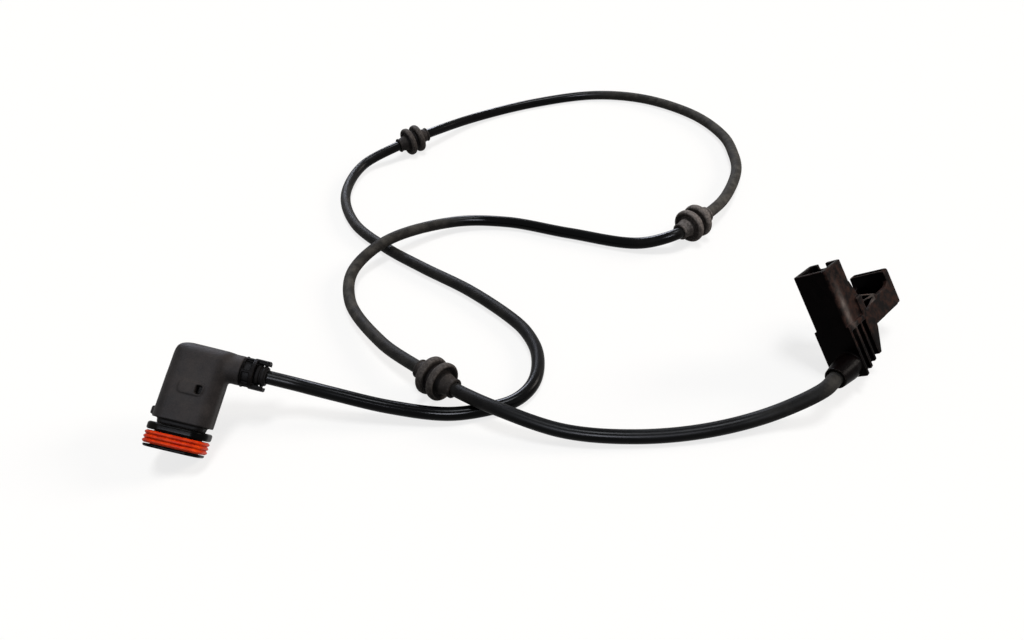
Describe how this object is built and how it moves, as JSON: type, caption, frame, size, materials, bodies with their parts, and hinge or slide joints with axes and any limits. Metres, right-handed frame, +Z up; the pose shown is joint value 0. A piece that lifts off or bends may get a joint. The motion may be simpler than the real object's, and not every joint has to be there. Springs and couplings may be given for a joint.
{
  "type": "brake pad wear sensor",
  "caption": "Wear sensor lead: an elbow plug with an orange mouth seal, a long black cable carrying rubber grommets, and a moulded clip-on sensor head with an open shroud.",
  "frame": {"origin": "bottom centre of the box round the elbow plug and the sensor head, on the plane that the lead lies on", "axes": "+X from the elbow plug towards the sensor head, +Z up from the plane that the lead lies on, +Y towards the far loop of cable"},
  "size_m": [0.2594, 0.2558, 0.0364],
  "materials": {
    "elbow_plastic": "fine matte moulded texture",
    "gloss_plastic": "smooth gloss",
    "seal_silicone": "satin silicone",
    "carrier_plastic": "moulded",
    "contact_metal": "tin plated",
    "grommet_rubber": "matte, slightly dusty",
    "head_plastic": "smooth satin gloss",
    "cable_sheath": "semi-gloss jacket"
  },
  "bodies": {
    "root": {"elbow_housing": "elbow_plastic", "mouth_collar": "gloss_plastic", "mouth_seal": "seal_silicone", "mouth_rim": "gloss_plastic", "contact_carrier": "carrier_plastic", "contact_socket_left": "contact_metal", "contact_socket_right": "contact_metal", "cable_gland_cap": "elbow_plastic", "cable_gland_seal": "grommet_rubber", "head_housing": "head_plastic", "head_contact_left": "contact_metal", "head_contact_right": "contact_metal", "head_cable_seal": "grommet_rubber", "grommet_rear": "grommet_rubber", "grommet_side": "grommet_rubber", "grommet_front": "grommet_rubber", "cable_sheath": "cable_sheath"}
  },
  "joints": []
}
